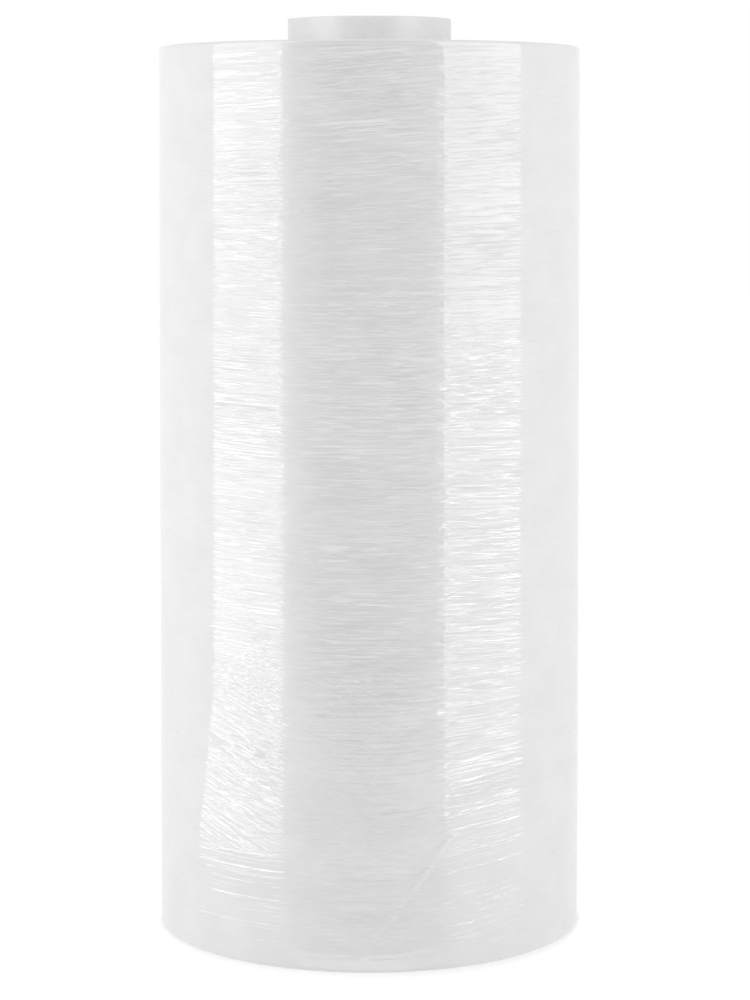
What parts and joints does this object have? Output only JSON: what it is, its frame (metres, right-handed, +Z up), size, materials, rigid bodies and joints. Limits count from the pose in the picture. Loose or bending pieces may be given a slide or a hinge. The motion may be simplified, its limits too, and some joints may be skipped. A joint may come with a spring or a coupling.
{
  "type": "stretch wrap roll",
  "caption": "Roll of clear stretch wrap film for a wrapping machine, wound on a white paper tube core that stands proud at the top, standing on end.",
  "frame": {"origin": "centre of the end that the roll stands on, on the axis of the core", "axes": "+Z up the roll's axis, from the end it stands on to the end where the core stands proud; -Y faces the picture's camera"},
  "size_m": [0.2448, 0.2448, 0.524],
  "materials": {
    "core_paper": "matt white outer ply over grey board, spirally wound",
    "film": "glossy, milky where the turns stack, with fine wrinkles round the roll"
  },
  "bodies": {
    "root": {"core_tube": "core_paper", "film_roll": "film"}
  },
  "joints": []
}
